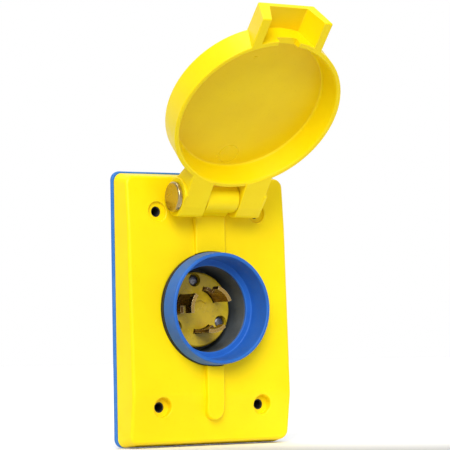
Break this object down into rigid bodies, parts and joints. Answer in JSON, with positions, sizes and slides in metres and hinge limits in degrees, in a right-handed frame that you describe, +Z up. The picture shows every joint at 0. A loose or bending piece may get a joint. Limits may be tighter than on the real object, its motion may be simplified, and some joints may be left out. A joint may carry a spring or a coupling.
{
  "type": "flip-lid power inlet plate",
  "caption": "Weatherproof cover plate with a hinged round flip lid over a rubber-collared locking male power inlet.",
  "frame": {"origin": "centre of the sealing gasket's back face, where the plate is screwed onto its box", "axes": "+X to the right seen from the front, +Z up, -Y outward from the wall"},
  "size_m": [0.082, 0.1214, 0.181],
  "materials": {
    "moulded_yellow": "satin moulded",
    "gasket_rubber": "matte closed-cell",
    "collar_rubber": "soft satin moulded",
    "black_nylon": "matte moulded",
    "face_plastic": "moulded, translucent tan",
    "blade_brass": "stamped brass",
    "pin_steel": "turned stainless",
    "zinc_steel": "bright zinc plated"
  },
  "bodies": {
    "inlet": {"cover_plate": "moulded_yellow", "plate_gasket": "gasket_rubber", "sealing_collar": "collar_rubber", "collar_backing_ring": "black_nylon", "inlet_shroud": "black_nylon", "contact_carrier": "face_plastic", "terminal_housing": "black_nylon", "rear_cover": "black_nylon", "inlet_retainer": "zinc_steel", "hinge_pin": "pin_steel", "pin_retaining_clip": "pin_steel", "line_blade": "blade_brass", "ground_blade": "blade_brass", "neutral_blade": "blade_brass", "carrier_screw_1": "pin_steel", "carrier_screw_2": "pin_steel", "carrier_screw_3": "pin_steel", "rear_cover_screw_1": "zinc_steel", "rear_cover_screw_2": "zinc_steel", "rear_cover_screw_3": "zinc_steel", "retainer_screw_1": "zinc_steel", "retainer_screw_2": "zinc_steel", "retainer_screw_3": "zinc_steel", "retainer_screw_4": "zinc_steel"},
    "lid": {"flip_lid": "moulded_yellow"},
    "line_terminal_screw": {"line_terminal_screw": "zinc_steel"},
    "line_clamp": {"line_clamp": "zinc_steel"},
    "ground_terminal_screw": {"ground_terminal_screw": "zinc_steel"},
    "ground_clamp": {"ground_clamp": "zinc_steel"},
    "neutral_terminal_screw": {"neutral_terminal_screw": "zinc_steel"},
    "neutral_clamp": {"neutral_clamp": "zinc_steel"}
  },
  "joints": [
    {"name": "lid_hinge", "type": "hinge", "parent": "inlet", "child": "lid", "pos_m": [0, -0.0204, 0.0474], "axis": [-1, 0, 0], "range_deg": [-137, 38]},
    {"name": "line_screw_turn", "type": "hinge", "parent": "inlet", "child": "line_terminal_screw", "pos_m": [0, 0.019, 0], "axis": [0.7071, 0, 0.7071], "range_deg": [0, 1080]},
    {"name": "line_clamp_slide", "type": "slide", "parent": "inlet", "child": "line_clamp", "axis": [0.7071, 0, 0.7071], "range_m": [0, 0.0024]},
    {"name": "ground_screw_turn", "type": "hinge", "parent": "inlet", "child": "ground_terminal_screw", "pos_m": [0, 0.019, 0], "axis": [-0.9659, 0, 0.2588], "range_deg": [0, 1080]},
    {"name": "ground_clamp_slide", "type": "slide", "parent": "inlet", "child": "ground_clamp", "axis": [-0.9659, 0, 0.2588], "range_m": [0, 0.0024]},
    {"name": "neutral_screw_turn", "type": "hinge", "parent": "inlet", "child": "neutral_terminal_screw", "pos_m": [0, 0.019, 0], "axis": [0.2588, 0, -0.9659], "range_deg": [0, 1080]},
    {"name": "neutral_clamp_slide", "type": "slide", "parent": "inlet", "child": "neutral_clamp", "axis": [0.2588, 0, -0.9659], "range_m": [0, 0.0024]}
  ],
  "couplings": [
    {"joint": "line_screw_turn", "follows": "line_clamp_slide", "rad_per_m": 7854},
    {"joint": "ground_screw_turn", "follows": "ground_clamp_slide", "rad_per_m": 7854},
    {"joint": "neutral_screw_turn", "follows": "neutral_clamp_slide", "rad_per_m": 7854}
  ]
}
